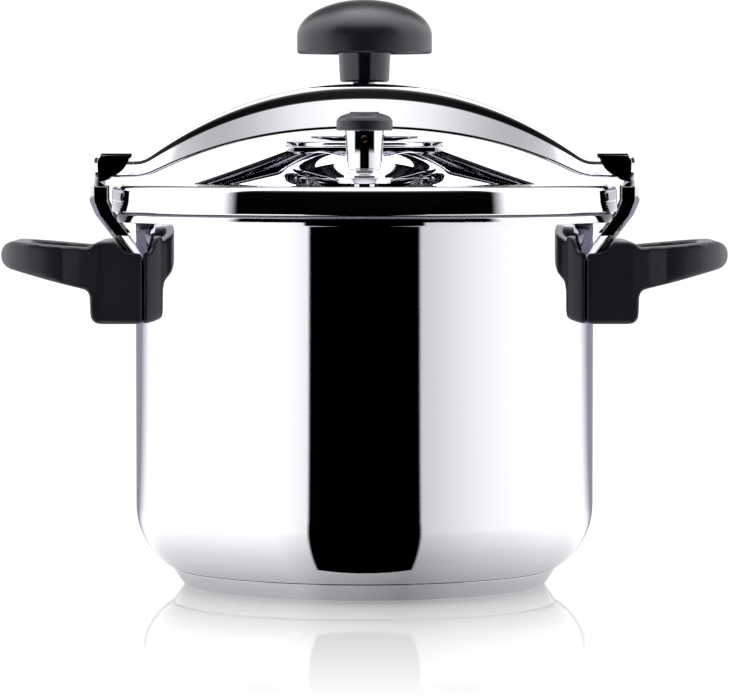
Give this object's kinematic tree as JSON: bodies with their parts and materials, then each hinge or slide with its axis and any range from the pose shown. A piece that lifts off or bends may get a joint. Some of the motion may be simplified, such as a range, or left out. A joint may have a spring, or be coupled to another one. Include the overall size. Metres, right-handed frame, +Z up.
{
  "type": "stovetop pressure cooker",
  "caption": "Stovetop pressure cooker: polished steel pot with side handles, a lid that slides in under hoods, an arched bridge with a screw-down knob, and sprung valves.",
  "frame": {"origin": "centre of the base's underside, on the pot's axis", "axes": "+Z up along the pot's axis, +X from the left handle to the right handle, -Y to the front, where the working valve stands"},
  "size_m": [0.3474, 0.2432, 0.2807],
  "materials": {
    "polished_steel": "mirror-polished stainless steel",
    "turned_steel": "turned or zinc-plated steel",
    "aluminium_core": "plain rolled aluminium",
    "black_phenolic": "satin moulded phenolic resin",
    "gloss_phenolic": "glossy moulded phenolic resin",
    "silicone": "matt grey silicone",
    "brass": "turned brass",
    "red_plastic": "moulded red plastic"
  },
  "bodies": {
    "pot": {"pot_body": "polished_steel", "base_core": "aluminium_core", "base_shell": "polished_steel", "bracket_left": "polished_steel", "bracket_right": "polished_steel", "handle_left": "black_phenolic", "handle_right": "black_phenolic", "handle_screw_left_front": "turned_steel", "handle_screw_left_back": "turned_steel", "handle_screw_right_front": "turned_steel", "handle_screw_right_back": "turned_steel", "handle_nut_left_front": "turned_steel", "handle_nut_left_back": "turned_steel", "handle_nut_right_front": "turned_steel", "handle_nut_right_back": "turned_steel"},
    "lid": {"lid_shell": "polished_steel", "lid_plate": "polished_steel", "gasket": "silicone", "valve_body": "polished_steel", "valve_bush": "turned_steel", "valve_collar": "polished_steel", "valve_seal": "silicone", "valve_nut": "turned_steel", "valve_spring": "turned_steel", "safety_valve_body": "polished_steel", "safety_spring": "turned_steel", "safety_seal": "silicone", "safety_nut": "turned_steel"},
    "bridge": {"bridge_bar": "polished_steel", "bridge_nut": "turned_steel"},
    "foot": {"pressure_foot": "polished_steel", "foot_ring": "turned_steel"},
    "knob": {"knob_body": "black_phenolic", "spindle": "turned_steel", "knob_nut": "turned_steel", "knob_washer": "turned_steel", "knob_disc": "gloss_phenolic"},
    "valve_lifter": {"valve_cap": "black_phenolic", "valve_needle": "brass"},
    "safety_popper": {"safety_pin": "red_plastic"}
  },
  "joints": [
    {"name": "lid_slide", "type": "slide", "parent": "pot", "child": "lid", "axis": [0, 1, 0], "range_m": [0, 0.25]},
    {"name": "bridge_drop", "type": "slide", "parent": "lid", "child": "bridge", "axis": [0, 0, -1], "range_m": [0, 0.00185]},
    {"name": "spindle_rise", "type": "slide", "parent": "bridge", "child": "foot", "axis": [0, 0, 1], "range_m": [0, 0.0075]},
    {"name": "knob_turn", "type": "hinge", "parent": "foot", "child": "knob", "pos_m": [0, 0, 0.2412], "axis": [0, 0, 1], "range_deg": [0, 1081]},
    {"name": "valve_lift", "type": "slide", "parent": "lid", "child": "valve_lifter", "axis": [0, 0, 1], "range_m": [0, 0.003], "stiffness_N_per_m": 800, "springref_m": -0.004, "deforming": ["valve_spring"]},
    {"name": "safety_pop", "type": "slide", "parent": "lid", "child": "safety_popper", "axis": [0, 0, 1], "range_m": [0, 0.002], "stiffness_N_per_m": 1500, "springref_m": -0.003, "deforming": ["safety_spring"]}
  ],
  "couplings": [
    {"joint": "knob_turn", "follows": "spindle_rise", "rad_per_m": 2513.3},
    {"joint": "bridge_drop", "follows": "spindle_rise", "ratio": 0.24}
  ]
}
